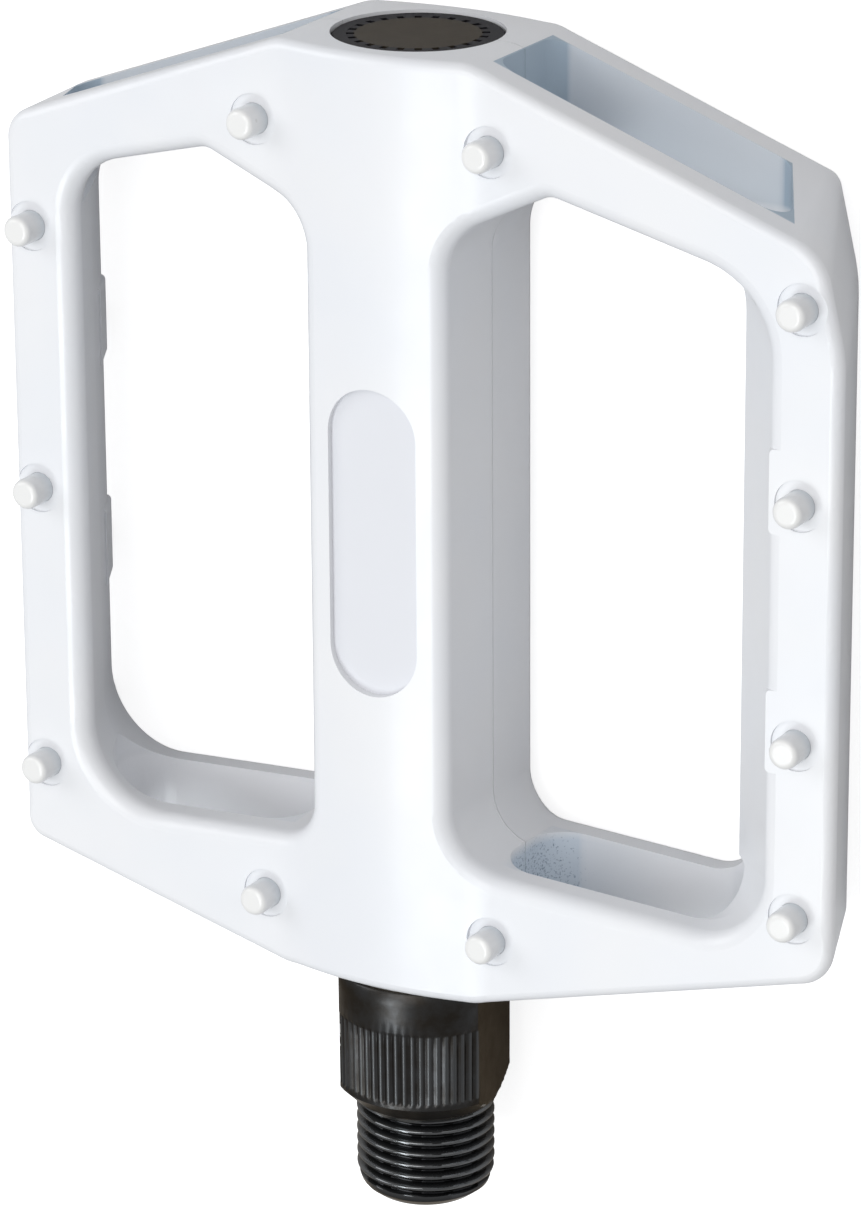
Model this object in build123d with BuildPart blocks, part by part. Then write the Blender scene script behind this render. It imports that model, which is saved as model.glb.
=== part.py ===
from build123d import *
import math
import os

os.makedirs("parts", exist_ok=True)

# Flat pedal, left hand. Y runs along the spindle towards the end cap, Z is square
# to the tread faces, X runs across the platform. Y = 0 is the face of the crank.
# Turned half a turn about the spindle the platform looks nearly the same: the +X side
# has a slanted outboard corner and a ridge along the inner side of its rail.

# ---- platform ----
inboard_end = 15.8            # Y of the barrel's end beside the collar
outboard_end = 112.7          # Y of the barrel's end around the cap
half_thickness = 9.55         # tread face above the spindle axis
half_width = 46.5             # outer side of a rail at the height of the axis
rail_step = 7.8               # how far its outer side leans between the two tread faces
rail_width = 8.0              # thickness of a rail at the height of the axis
rail_inner_step = 9.9         # how far its inner side leans, so a rail is a wedge
rail_ridge = 2.6              # the +X rail is this much thicker at mid height
outline_shift = 0.6           # the outline stands this far to +X of the spindle's axis
inboard_flat = 11.0           # half length of the straight end beside the collar
outboard_flat = 10.6          # half length of the straight end around the cap
inboard_sweep = 15.0          # degrees, each inboard edge runs back by this
outboard_sweep = 20.0         # degrees, each outboard edge runs back by this
wide_corner_radius = 9.0      # outboard corner where the rail stands outermost
narrow_corner_radius = 2.6    # outboard corner where the rail stands innermost
slant_length = 9.0            # outboard corner on the +X side, along the rail
slant_setback = 2.3           # the same, across
slant_start_radius = 16.0
slant_wide_radius = 6.5
slant_narrow_radius = 1.6
inboard_wide_radius = 4.4
inboard_narrow_radius = 2.2
end_blend_radius = 5.0
outer_edge_radius = 1.0

# ---- barrel ----
crown_rise = 1.45             # crest of the barrel above the tread faces
crown_half_width = 10.6
crown_blend_radius = 16.0
barrel_half_width = 8.1       # side of the barrel in a window, at the height of the axis
barrel_step = 1.2             # how far that side leans between the two tread faces
badge_length = 31.8           # plain sunk field on the barrel
badge_width = 9.9
badge_depth = 1.0
badge_station = 0.491         # its middle, as a share of the barrel's length

# ---- windows ----
casting_draft = 1.5           # degrees, a window opens this way from mid height
inboard_bridge = 14.9         # inboard end of the barrel to a window, on the axis
inboard_window_sweep = 3.0    # degrees, this edge runs forward
outboard_bridge = 7.5         # outboard end of the barrel to a window, on the axis
outboard_window_sweep = 14.0  # degrees, this edge runs back
throat_reach = 19.2           # a slant joins that edge this far from the axis
throat_depth = 10.0           # and meets the barrel this far inboard of it
window_edge_radius = 1.7
rail_outboard_radius = 6.2
ridge_outboard_radius = 8.6   # the same corner beside the +X rail
rail_inboard_radius = 8.2
ridge_inboard_radius = 4.5    # the same corner beside the +X rail, from mid height down
throat_edge_radius = 2.5
throat_barrel_radius = 5.5
barrel_inboard_narrow_radius = 4.2
barrel_inboard_wide_radius = 6.6

# ---- hollow cross members ----
slot_start = 11.8             # near end of a slot, from the axis
slot_web = 3.6                # solid metal above and below a slot
inboard_slot_wall = 9.4       # outer side of the rail to the far end of an inboard slot
outboard_slot_wall = 5.9      # the same at the outboard end
inboard_slot_radius = 4.0
outboard_slot_radius = 2.2

# ---- traction pins ----
pin_diameter = 3.15
pin_height = 2.8
pin_depth = 2.6
pin_bevel = 0.75
pin_clearance = 0.02
spotface_margin = 1.0         # spotface beyond the pin, all round
spotface_depth = 0.25
wide_pin_margin = 4.55        # outer side of a rail to the pins on it, where it is wide
narrow_pin_margin = 2.5       # the same on the other rail
wide_first_pin = 5.9          # from the platform's corner, along the rail
wide_last_pin = 4.4
wide_pin_stations = (0, 0.292, 0.686, 1)
narrow_first_pin = 8.4
narrow_last_pin = 11.2
narrow_pin_stations = (0, 0.52, 1)
cross_pin_x = 13.1
outboard_pin_margin = 7.4     # outboard edge to the pins beside it
boss_length = 8.4             # pad beside each middle pin of a wide rail
boss_height = 0.4
boss_depth = 5.0
boss_shift = 1.0              # its middle stands this far outboard of the pin

# ---- spindle ----
thread_diameter = 14.29       # nine sixteenths of an inch, 20 threads per inch, left hand
thread_end = 10.4             # end of the spindle below the crank face
thread_full = 7.7             # end of the full thread
thread_tip_diameter = 11.0
hex_socket = 6.0
hex_socket_depth = 6.5
cone_height = 2.05
collar_diameter = 18.4        # at the cone
collar_end_diameter = 18.7    # at the platform
collar_gap = 0.8              # collar to platform
spanner_flats = 15.0
flats_turn = -12.0            # degrees, how the flats stand beside the platform at rest
journal_diameter = 12.0
bearing_journal_diameter = 8.0
shank_diameter = 10.6
journal_relief = 0.4          # the big journal ends this far inside its bush
spindle_tip_gap = 0.5         # spindle end to cap

# ---- inboard bush, seal and washer ----
bush_wall = 1.0
bush_length = 10.0
bush_running_gap = 0.05
seal_wall = 1.5               # seal beyond the bush, all round
seal_width = 2.6
seal_lip_gap = 0.08
thrust_washer_thickness = 0.5

# ---- cartridge bearing on the small journal ----
bearing_outer_diameter = 16.0
bearing_width = 5.0
bearing_cap_depth = 8.3       # outboard end of the barrel to the bearing
ball_share = 0.55             # ball diameter, as a share of the space between bore and rim
ball_count = 9
ball_gap = 0.1
shield_thickness = 0.25
shield_recess = 0.2
retainer_gap = 0.3
seat_gap = 0.02               # pressed pieces in their bores
circlip_thickness = 0.9
circlip_groove_depth = 0.5
circlip_width = 1.3
circlip_opening = 40.0        # degrees

# ---- nut and cap ----
washer_thickness = 1.0
washer_diameter = 11.0
nut_across_flats = 11.0
nut_height = 3.6
insert_height = 1.3
cap_shoulder = 0.6            # cap beyond the bearing, all round
cap_recess = 0.25
cap_face_thickness = 1.5
cap_length = 5.3
cap_wall = 1.6
cap_screw_gap = 0.04
oring_thickness = 0.9
notch_count = 24
notch_ring = 0.77             # of the cap's radius
notch_width = 0.7
notch_length = 0.8
notch_depth = 0.3

# ---- sizes that follow ----
crown_height = half_thickness + crown_rise
badge_centre = inboard_end + badge_station * (outboard_end - inboard_end)
spotface_diameter = pin_diameter + 2 * spotface_margin
rail_slope = rail_step / (2 * half_thickness)
barrel_slope = barrel_step / (2 * half_thickness)
wide_outer = half_width + rail_step / 2 + outline_shift
narrow_outer = half_width - rail_step / 2 - outline_shift
rail_inner = half_width - rail_width
rail_inner_slope = rail_inner_step / (2 * half_thickness)
window_draft = math.tan(math.radians(casting_draft))
cut_height = crown_height + 1.0
window_inboard_start = inboard_end + inboard_bridge
window_outboard_start = outboard_end - outboard_bridge
slot_half_height = half_thickness - slot_web
inboard_slot_end = half_width - inboard_slot_wall
outboard_slot_end = half_width - outboard_slot_wall
barrel_shift = barrel_slope * half_thickness
collar_top = inboard_end - collar_gap
bearing_outboard = outboard_end - bearing_cap_depth
bearing_inboard = bearing_outboard - bearing_width
bearing_middle = bearing_inboard + bearing_width / 2
ball_pitch = (bearing_outer_diameter + bearing_journal_diameter) / 4
ball_diameter = ball_share * (bearing_outer_diameter - bearing_journal_diameter) / 2
ring_wall = ball_diameter / 2
inner_ring_diameter = bearing_journal_diameter + 2 * ring_wall
outer_ring_bore = bearing_outer_diameter - 2 * ring_wall
bearing_shoulder_diameter = inner_ring_diameter - 0.3
nut_thread_diameter = bearing_journal_diameter - 1.0
bush_outer_diameter = journal_diameter + 2 * bush_wall
seal_outer_diameter = bush_outer_diameter + 2 * seal_wall
thrust_washer_diameter = collar_end_diameter - 1.1
cap_diameter = bearing_outer_diameter + 2 * cap_shoulder
seal_end = inboard_end + seal_width
bush_end = seal_end + bush_length
shank_bore = shank_diameter + 1.0
cap_outboard = outboard_end - cap_recess
cap_inboard = cap_outboard - cap_length
cap_step = cap_inboard - oring_thickness
cap_face_inner = cap_outboard - cap_face_thickness
spindle_end = cap_face_inner - spindle_tip_gap
washer_end = bearing_outboard + washer_thickness
nut_end = washer_end + nut_height


def inboard_edge(x):
    """Y of the platform's inboard edge."""
    return inboard_end + max(0, abs(x) - inboard_flat) * math.tan(math.radians(inboard_sweep))


def outboard_edge(x):
    """Y of the platform's outboard edge."""
    return outboard_end - max(0, abs(x) - outboard_flat) * math.tan(math.radians(outboard_sweep))


def window_inboard(x):
    return window_inboard_start - abs(x) * math.tan(math.radians(inboard_window_sweep))


def window_outboard(x):
    return window_outboard_start - abs(x) * math.tan(math.radians(outboard_window_sweep))


def platform_plan(z):
    """Corners and corner radii of the platform's outline at one height."""
    left = outline_shift - half_width + rail_slope * z
    right = outline_shift + half_width + rail_slope * z
    slant_end = right - slant_setback
    corners = [
        (left, inboard_edge(left)),
        (-inboard_flat, inboard_end),
        (inboard_flat, inboard_end),
        (right, inboard_edge(right)),
        (right, outboard_edge(right) - slant_length),
        (slant_end, outboard_edge(slant_end)),
        (outboard_flat, outboard_end),
        (-outboard_flat, outboard_end),
        (left, outboard_edge(left)),
    ]
    if z > 0:
        inboard_left, inboard_right = inboard_narrow_radius, inboard_wide_radius
        outboard_left, outboard_right = narrow_corner_radius, slant_wide_radius
    else:
        inboard_left, inboard_right = inboard_wide_radius, inboard_narrow_radius
        outboard_left, outboard_right = wide_corner_radius, slant_narrow_radius
    radii = [
        inboard_left, end_blend_radius, end_blend_radius, inboard_right,
        slant_start_radius, outboard_right, end_blend_radius, end_blend_radius, outboard_left,
    ]
    return corners, radii


def window_plan(side, z):
    """Corners and corner radii of one window at one height; side is 1 or -1."""
    draft = abs(z) * window_draft
    barrel = side * (barrel_half_width - draft) + barrel_slope * z
    rail = side * (rail_inner + draft) + rail_inner_slope * z
    outboard_radius, inboard_radius = rail_outboard_radius, rail_inboard_radius
    if side > 0:
        rail -= rail_ridge * (1 - abs(z) / half_thickness)
        outboard_radius = ridge_outboard_radius
        inboard_radius = rail_inboard_radius if z > 0 else ridge_inboard_radius
    throat = side * throat_reach
    corners = [
        (barrel, window_inboard(barrel) - draft),
        (rail, window_inboard(rail) - draft),
        (rail, window_outboard(rail) + draft),
        (throat, window_outboard(throat) + draft),
        (barrel, window_outboard_start - throat_depth + draft),
    ]
    # the barrel's inboard corner opens out towards the face where the window is wide
    share = side * z / cut_height
    middle = (barrel_inboard_wide_radius + barrel_inboard_narrow_radius) / 2
    spread = (barrel_inboard_wide_radius - barrel_inboard_narrow_radius) / 2
    radii = [
        middle + share * spread, inboard_radius, outboard_radius,
        throat_edge_radius, throat_barrel_radius,
    ]
    return corners, radii


def slot_plan(side, far_end):
    """Corners of a slot seen along the spindle; its far end leans as the rail does."""
    lean = rail_inner_slope * slot_half_height
    return [
        (-side * slot_start, -slot_half_height),
        (-side * far_end + lean, -slot_half_height),
        (-side * far_end - lean, slot_half_height),
        (-side * slot_start, slot_half_height),
    ]


def upper_pin_spots():
    """Where the pins stand on the upper tread face."""
    wide = wide_outer - wide_pin_margin
    narrow = -(narrow_outer - narrow_pin_margin)
    wide_first = inboard_edge(wide_outer) + wide_first_pin
    wide_last = outboard_edge(wide_outer) - wide_last_pin
    narrow_first = inboard_edge(narrow_outer) + narrow_first_pin
    narrow_last = outboard_edge(narrow_outer) - narrow_last_pin
    spots = []
    for station in wide_pin_stations:
        spots.append((wide, wide_first + station * (wide_last - wide_first)))
    for station in narrow_pin_stations:
        spots.append((narrow, narrow_first + station * (narrow_last - narrow_first)))
    inboard_row = (inboard_edge(cross_pin_x) + window_inboard(cross_pin_x)) / 2
    outboard_row = outboard_edge(cross_pin_x) - outboard_pin_margin
    for x in (-cross_pin_x, cross_pin_x):
        spots.append((x, inboard_row))
        spots.append((x, outboard_row))
    return spots


# The other tread face carries the same things, half a turn about Y further round.
upper_face = Plane.XY.offset(half_thickness)
lower_face = Plane(origin=(0, 0, -half_thickness), x_dir=(-1, 0, 0), z_dir=(0, 0, -1))


def across_at(y):
    """Plane square to the spindle, looking along it, with its normal towards the cap."""
    return Plane(origin=(0, y, 0), x_dir=(-1, 0, 0), z_dir=(0, 1, 0))


# ---- cage body ----
pin_spots = upper_pin_spots()
with BuildPart() as cage_body:
    # outline, leaning from one tread face to the other
    for z in (-cut_height, cut_height):
        with BuildSketch(Plane.XY.offset(z)):
            corners, radii = platform_plan(z)
            with BuildLine():
                FilletPolyline(*corners, radius=radii, close=True)
            make_face()
    loft(ruled=True)

    # cross-section: two flat tread faces with the barrel's crown standing above each
    with BuildSketch(across_at(inboard_end)) as section:
        reach = wide_outer + 10
        with BuildLine():
            Polyline(
                (reach, half_thickness),
                (-barrel_shift + crown_half_width, half_thickness),
            )
            ThreePointArc(
                (-barrel_shift + crown_half_width, half_thickness),
                (-barrel_shift, crown_height),
                (-barrel_shift - crown_half_width, half_thickness),
            )
            Polyline(
                (-barrel_shift - crown_half_width, half_thickness),
                (-reach, half_thickness),
                (-reach, -half_thickness),
                (barrel_shift - crown_half_width, -half_thickness),
            )
            ThreePointArc(
                (barrel_shift - crown_half_width, -half_thickness),
                (barrel_shift, -crown_height),
                (barrel_shift + crown_half_width, -half_thickness),
            )
            Polyline(
                (barrel_shift + crown_half_width, -half_thickness),
                (reach, -half_thickness),
                (reach, half_thickness),
            )
        make_face()
        crown_corners = section.vertices().filter_by(lambda v: abs(v.X) < reach / 2)
        fillet(crown_corners, crown_blend_radius)
    extrude(amount=outboard_end - inboard_end, mode=Mode.INTERSECT)

    # soft edge all round each tread face
    rim = cage_body.edges().filter_by(lambda e: abs(e.center().Z) > half_thickness - 0.5)
    seams = rim.filter_by(Axis.Y).filter_by(lambda e: abs(e.center().X) < half_width / 2)
    fillet(rim - seams, outer_edge_radius)

    # the two windows, with their edges rounded towards each tread face
    for side in (-1, 1):
        for z in (-cut_height, cut_height):
            for height in (0, z):
                with BuildSketch(Plane.XY.offset(height)):
                    corners, radii = window_plan(side, height)
                    with BuildLine():
                        FilletPolyline(*corners, radius=radii, close=True)
                    make_face()
            loft(ruled=True, mode=Mode.SUBTRACT)
            window_rim = cage_body.edges(Select.LAST).filter_by(
                lambda e: abs(e.center().Z) > half_thickness - 0.5
            )
            fillet(window_rim, window_edge_radius)

    # slots right through the four cross members
    for side in (-1, 1):
        with BuildSketch(across_at(inboard_end - 1)):
            with BuildLine():
                FilletPolyline(
                    *slot_plan(side, inboard_slot_end), radius=inboard_slot_radius, close=True
                )
            make_face()
        extrude(amount=window_inboard_start - inboard_end + 4, mode=Mode.SUBTRACT)
        with BuildSketch(across_at(outboard_end + 1)):
            with BuildLine():
                FilletPolyline(
                    *slot_plan(side, outboard_slot_end), radius=outboard_slot_radius, close=True
                )
            make_face()
        extrude(amount=window_outboard(outboard_slot_end) - outboard_end - 4, mode=Mode.SUBTRACT)

    for face, offset in ((upper_face, crown_height - half_thickness),
                         (lower_face, crown_height - half_thickness)):
        # sunk field for a badge, left bare
        with BuildSketch(face.offset(offset)):
            with Locations((barrel_shift, badge_centre)):
                SlotOverall(badge_length, badge_width, rotation=90)
        extrude(amount=-badge_depth, mode=Mode.SUBTRACT)

        # pads on the inner side of a wide rail beside its middle pins
        wide_inner = rail_inner + (rail_inner_slope + window_draft) * half_thickness
        pad_width = boss_height + window_edge_radius + 1
        for x, y in pin_spots[1:len(wide_pin_stations) - 1]:
            with BuildSketch(face):
                with Locations((wide_inner - boss_height + pad_width / 2, y + boss_shift)):
                    RectangleRounded(pad_width, boss_length, 0.5)
            extrude(amount=boss_depth, dir=-face.z_dir - rail_inner_slope * face.x_dir)

        # seats of the pins
        with Locations(face.offset(offset)):
            with Locations(*pin_spots):
                CounterBoreHole(
                    radius=pin_diameter / 2 + pin_clearance,
                    counter_bore_radius=spotface_diameter / 2,
                    counter_bore_depth=offset + spotface_depth,
                    depth=offset + pin_depth,
                )

    # mouth for the seal, seat of the bush and the clearance bore behind them
    with Locations(Plane(origin=(0, inboard_end, 0), x_dir=(1, 0, 0), z_dir=(0, -1, 0))):
        CounterBoreHole(
            radius=bush_outer_diameter / 2,
            counter_bore_radius=seal_outer_diameter / 2,
            counter_bore_depth=seal_width,
            depth=seal_width + bush_length,
        )
        Hole(shank_bore / 2, depth=bearing_inboard - inboard_end)

    # seat of the bearing, groove of its circlip and the cap's bore
    with Locations(across_at(outboard_end)):
        CounterBoreHole(
            radius=bearing_outer_diameter / 2,
            counter_bore_radius=cap_diameter / 2,
            counter_bore_depth=outboard_end - cap_step,
            depth=outboard_end - bearing_inboard,
        )
    with BuildSketch(across_at(bearing_outboard)):
        Circle(bearing_outer_diameter / 2 + circlip_groove_depth)
    extrude(amount=circlip_thickness, mode=Mode.SUBTRACT)
cage_body.part.label = "cage_body"
export_step(cage_body.part, "parts/cage_body.step")

# ---- traction pins, eleven in each tread face ----
pins = {"upper_pins": upper_face, "lower_pins": lower_face}
for name, face in pins.items():
    with BuildPart() as pin_set:
        with BuildSketch(face.offset(-pin_depth)):
            with Locations(*pin_spots):
                Circle(pin_diameter / 2)
        extrude(amount=pin_depth + pin_height)
        tips = pin_set.edges().filter_by(GeomType.CIRCLE)
        tips = tips.filter_by(lambda e: abs(e.center().Z) > half_thickness + pin_height / 2)
        chamfer(tips, pin_bevel)
    pin_set.part.label = name
    export_step(pin_set.part, f"parts/{name}.step")

# ---- spindle ----
thread_radius = thread_diameter / 2
collar_radius = collar_diameter / 2
bearing_shoulder = bearing_inboard
with BuildPart() as spindle:
    with BuildSketch(Plane.XY):
        with BuildLine():
            Polyline(
                (0, -thread_end),
                (thread_tip_diameter / 2, -thread_end),
                ((thread_tip_diameter / 2 + thread_radius * 2) / 3, -thread_end + 1.05),
                (thread_radius, -thread_full),
                (thread_radius, 0),
                (collar_radius, cone_height),
                (collar_end_diameter / 2, collar_top),
                (journal_diameter / 2, collar_top),
                (journal_diameter / 2, bush_end - journal_relief - 0.8),
                (shank_diameter / 2, bush_end - journal_relief),
                (bearing_shoulder_diameter / 2, bearing_shoulder - 10),
                (bearing_shoulder_diameter / 2, bearing_shoulder),
                (bearing_journal_diameter / 2, bearing_shoulder),
                (bearing_journal_diameter / 2, bearing_outboard - 0.2),
                (nut_thread_diameter / 2, bearing_outboard - 0.2),
                (nut_thread_diameter / 2, spindle_end - 0.6),
                (nut_thread_diameter / 2 - 0.6, spindle_end),
                (0, spindle_end),
                close=True,
            )
        make_face()
    revolve(axis=Axis.Y)
    # two flats for a spanner, the full height of the collar
    flats = Plane(origin=(0, 0, 0), x_dir=(1, 0, 0), z_dir=(0, 1, 0)).rotated((0, -flats_turn, 0))
    with BuildSketch(flats):
        for side in (-1, 1):
            with Locations((side * (spanner_flats / 2 + 3), 0)):
                Rectangle(6, collar_end_diameter + 2)
    extrude(amount=collar_top, mode=Mode.SUBTRACT)
    # socket for a hexagon key in the thread's end
    with BuildSketch(across_at(-thread_end)):
        RegularPolygon(hex_socket / 2, 6, major_radius=False)
    extrude(amount=hex_socket_depth, mode=Mode.SUBTRACT)
spindle.part.label = "spindle"
export_step(spindle.part, "parts/spindle.step")


# ---- rings and washers ----
def ring_profile(inner_radius, outer_radius, start, length):
    """Rectangle beside the spindle's axis; it is revolved about Y."""
    with Locations(((inner_radius + outer_radius) / 2, start + length / 2)):
        Rectangle(outer_radius - inner_radius, length)


with BuildPart() as thrust_washer:
    with BuildSketch(Plane.XY):
        ring_profile(
            journal_diameter / 2 + 0.15, thrust_washer_diameter / 2, collar_top,
            thrust_washer_thickness,
        )
    revolve(axis=Axis.Y)
thrust_washer.part.label = "thrust_washer"
export_step(thrust_washer.part, "parts/thrust_washer.step")

with BuildPart() as inboard_seal:
    with BuildSketch(Plane.XY):
        with BuildLine():
            Polyline(
                (seal_outer_diameter / 2 - seat_gap, inboard_end),
                (seal_outer_diameter / 2 - seat_gap, seal_end),
                (bush_outer_diameter / 2, seal_end),
                (bush_outer_diameter / 2, inboard_end + 1),
                (journal_diameter / 2 + 0.6, inboard_end + 1.8),
                (journal_diameter / 2 + seal_lip_gap, inboard_end + 1.5),
                (journal_diameter / 2 + seal_lip_gap, inboard_end + 1.1),
                (journal_diameter / 2 + 0.5, inboard_end),
                close=True,
            )
        make_face()
    revolve(axis=Axis.Y)
inboard_seal.part.label = "inboard_seal"
export_step(inboard_seal.part, "parts/inboard_seal.step")

with BuildPart() as inboard_bushing:
    with BuildSketch(Plane.XY):
        ring_profile(
            journal_diameter / 2 + bush_running_gap, bush_outer_diameter / 2 - seat_gap,
            seal_end, bush_length,
        )
    revolve(axis=Axis.Y)
inboard_bushing.part.label = "inboard_bushing"
export_step(inboard_bushing.part, "parts/inboard_bushing.step")

# ---- cartridge bearing ----
groove_radius = ball_diameter / 2 + ball_gap
with BuildPart() as bearing_outer_ring:
    with BuildSketch(Plane.XY):
        ring_profile(
            outer_ring_bore / 2, bearing_outer_diameter / 2 - seat_gap, bearing_inboard,
            bearing_width,
        )
        with Locations((ball_pitch, bearing_middle)):
            Circle(groove_radius, mode=Mode.SUBTRACT)
    revolve(axis=Axis.Y)
    # step that holds the shield on each side
    for start, direction in ((bearing_inboard, 1), (bearing_outboard, -1)):
        with BuildSketch(across_at(start)):
            Circle(outer_ring_bore / 2 + 0.3)
        extrude(
            amount=direction * (shield_recess + shield_thickness), mode=Mode.SUBTRACT
        )
bearing_outer_ring.part.label = "bearing_outer_ring"
export_step(bearing_outer_ring.part, "parts/bearing_outer_ring.step")

with BuildPart() as bearing_inner_ring:
    with BuildSketch(Plane.XY):
        ring_profile(
            bearing_journal_diameter / 2 + seat_gap, inner_ring_diameter / 2, bearing_inboard,
            bearing_width,
        )
        with Locations((ball_pitch, bearing_middle)):
            Circle(groove_radius, mode=Mode.SUBTRACT)
    revolve(axis=Axis.Y)
bearing_inner_ring.part.label = "bearing_inner_ring"
export_step(bearing_inner_ring.part, "parts/bearing_inner_ring.step")

with BuildPart() as bearing_balls:
    with Locations(across_at(bearing_middle)):
        with PolarLocations(ball_pitch, ball_count):
            Sphere(ball_diameter / 2)
bearing_balls.part.label = "bearing_balls"
export_step(bearing_balls.part, "parts/bearing_balls.step")

# crown retainer: a ring on one side of the balls with open pockets that clip round them
retainer_start = bearing_inboard + shield_recess + shield_thickness + 0.2
with BuildPart() as bearing_retainer:
    with BuildSketch(Plane.XY):
        ring_profile(
            inner_ring_diameter / 2 + retainer_gap, outer_ring_bore / 2 - retainer_gap,
            retainer_start, bearing_middle + 0.45 - retainer_start,
        )
    revolve(axis=Axis.Y)
    with Locations(across_at(bearing_middle)):
        with PolarLocations(ball_pitch, ball_count):
            Cylinder(
                ball_diameter / 2 + ball_gap, 4, rotation=(0, 90, 0), mode=Mode.SUBTRACT
            )
bearing_retainer.part.label = "bearing_retainer"
export_step(bearing_retainer.part, "parts/bearing_retainer.step")

shields = {
    "bearing_shield_inboard": bearing_inboard + shield_recess,
    "bearing_shield_outboard": bearing_outboard - shield_recess - shield_thickness,
}
for name, start in shields.items():
    with BuildPart() as shield:
        with BuildSketch(Plane.XY):
            ring_profile(
                inner_ring_diameter / 2 + 0.2, outer_ring_bore / 2 + 0.3 - seat_gap, start,
                shield_thickness,
            )
        revolve(axis=Axis.Y)
    shield.part.label = name
    export_step(shield.part, f"parts/{name}.step")

# internal retaining ring with its two eyes
circlip_outer = bearing_outer_diameter / 2 + circlip_groove_depth - seat_gap
circlip_middle = circlip_outer - circlip_width / 2
with BuildPart() as bearing_circlip:
    with BuildSketch(across_at(bearing_outboard)):
        Circle(circlip_outer)
        Circle(circlip_outer - circlip_width, mode=Mode.SUBTRACT)
        with BuildLine():
            Polyline(
                (0, 0),
                (20, 20 * math.tan(math.radians(circlip_opening / 2))),
                (20, -20 * math.tan(math.radians(circlip_opening / 2))),
                close=True,
            )
        make_face(mode=Mode.SUBTRACT)
        with PolarLocations(circlip_middle - 0.3, 2, -circlip_opening / 2 - 6,
                            circlip_opening + 12, endpoint=True):
            Circle(0.95)
            Circle(0.4, mode=Mode.SUBTRACT)
    extrude(amount=circlip_thickness)
bearing_circlip.part.label = "bearing_circlip"
export_step(bearing_circlip.part, "parts/bearing_circlip.step")

# ---- nut on the spindle's end ----
with BuildPart() as clamp_washer:
    with BuildSketch(Plane.XY):
        ring_profile(
            nut_thread_diameter / 2 + 0.15, washer_diameter / 2, bearing_outboard,
            washer_thickness,
        )
    revolve(axis=Axis.Y)
clamp_washer.part.label = "clamp_washer"
export_step(clamp_washer.part, "parts/clamp_washer.step")

with BuildPart() as lock_nut:
    with BuildSketch(across_at(washer_end)):
        RegularPolygon(nut_across_flats / 2, 6, major_radius=False)
        Circle(nut_thread_diameter / 2 + seat_gap, mode=Mode.SUBTRACT)
    extrude(amount=nut_height)
lock_nut.part.label = "lock_nut"
export_step(lock_nut.part, "parts/lock_nut.step")

with BuildPart() as lock_nut_insert:
    with BuildSketch(Plane.XY):
        ring_profile(
            nut_thread_diameter / 2 + seat_gap, nut_across_flats / 2 - 0.8, nut_end,
            insert_height,
        )
    revolve(axis=Axis.Y)
lock_nut_insert.part.label = "lock_nut_insert"
export_step(lock_nut_insert.part, "parts/lock_nut_insert.step")

# ---- cap and its rubber ring ----
cap_radius = cap_diameter / 2 - cap_screw_gap
with BuildPart() as end_cap:
    with BuildSketch(Plane.XY):
        with BuildLine():
            Polyline(
                (0, cap_face_inner),
                (cap_radius - cap_wall, cap_face_inner),
                (cap_radius - cap_wall, cap_inboard),
                (cap_radius, cap_inboard),
                (cap_radius, cap_outboard - 0.3),
                (cap_radius - 0.3, cap_outboard),
                (0, cap_outboard),
                close=True,
            )
        make_face()
    revolve(axis=Axis.Y)
    # ring of notches for the cap's key
    with BuildSketch(across_at(cap_outboard)):
        with PolarLocations(notch_ring * cap_radius, notch_count):
            Rectangle(notch_length, notch_width)
    extrude(amount=-notch_depth, mode=Mode.SUBTRACT)
end_cap.part.label = "end_cap"
export_step(end_cap.part, "parts/end_cap.step")

with BuildPart() as end_cap_oring:
    with BuildSketch(Plane.XY):
        with Locations((cap_radius - oring_thickness / 2 - 0.1, cap_step + oring_thickness / 2)):
            Circle(oring_thickness / 2 - seat_gap)
    revolve(axis=Axis.Y)
end_cap_oring.part.label = "end_cap_oring"
export_step(end_cap_oring.part, "parts/end_cap_oring.step")
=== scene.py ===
import bpy
import bmesh
import math
from mathutils import Vector, Matrix


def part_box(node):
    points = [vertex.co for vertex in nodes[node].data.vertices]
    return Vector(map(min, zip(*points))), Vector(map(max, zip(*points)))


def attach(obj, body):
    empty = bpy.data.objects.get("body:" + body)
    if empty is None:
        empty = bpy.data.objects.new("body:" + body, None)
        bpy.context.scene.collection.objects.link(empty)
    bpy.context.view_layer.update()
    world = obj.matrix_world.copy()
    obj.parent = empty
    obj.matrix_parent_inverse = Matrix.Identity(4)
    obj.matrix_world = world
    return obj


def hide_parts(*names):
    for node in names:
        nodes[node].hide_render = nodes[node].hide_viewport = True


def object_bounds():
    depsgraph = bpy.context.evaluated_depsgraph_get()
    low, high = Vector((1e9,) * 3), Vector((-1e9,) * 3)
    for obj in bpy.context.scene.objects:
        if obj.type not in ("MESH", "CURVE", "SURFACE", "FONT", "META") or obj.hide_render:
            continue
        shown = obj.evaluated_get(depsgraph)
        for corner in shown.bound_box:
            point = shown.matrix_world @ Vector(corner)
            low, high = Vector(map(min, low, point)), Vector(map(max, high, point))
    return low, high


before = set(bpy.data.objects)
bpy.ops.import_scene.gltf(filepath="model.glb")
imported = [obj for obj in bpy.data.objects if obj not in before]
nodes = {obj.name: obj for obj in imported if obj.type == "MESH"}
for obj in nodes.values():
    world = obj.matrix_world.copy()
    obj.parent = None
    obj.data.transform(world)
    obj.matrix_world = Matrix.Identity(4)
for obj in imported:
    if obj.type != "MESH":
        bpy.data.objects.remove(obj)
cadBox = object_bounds()
mm = 0.001
print("frame loaded:", len(nodes), "nodes")


# sockets are named as in the node editor, with _ for a space
def setInputs(node, **values):
    for key, value in values.items():
        node.inputs[key.replace("_", " ")].default_value = value


def addNode(tree, kind, **settings):
    node = tree.nodes.new(kind)
    for key, value in settings.items():
        setattr(node, key, value)
    return node


def plug(tree, value, socket):
    if isinstance(value, bpy.types.NodeSocket):
        tree.links.new(value, socket)
    else:
        socket.default_value = value


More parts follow.
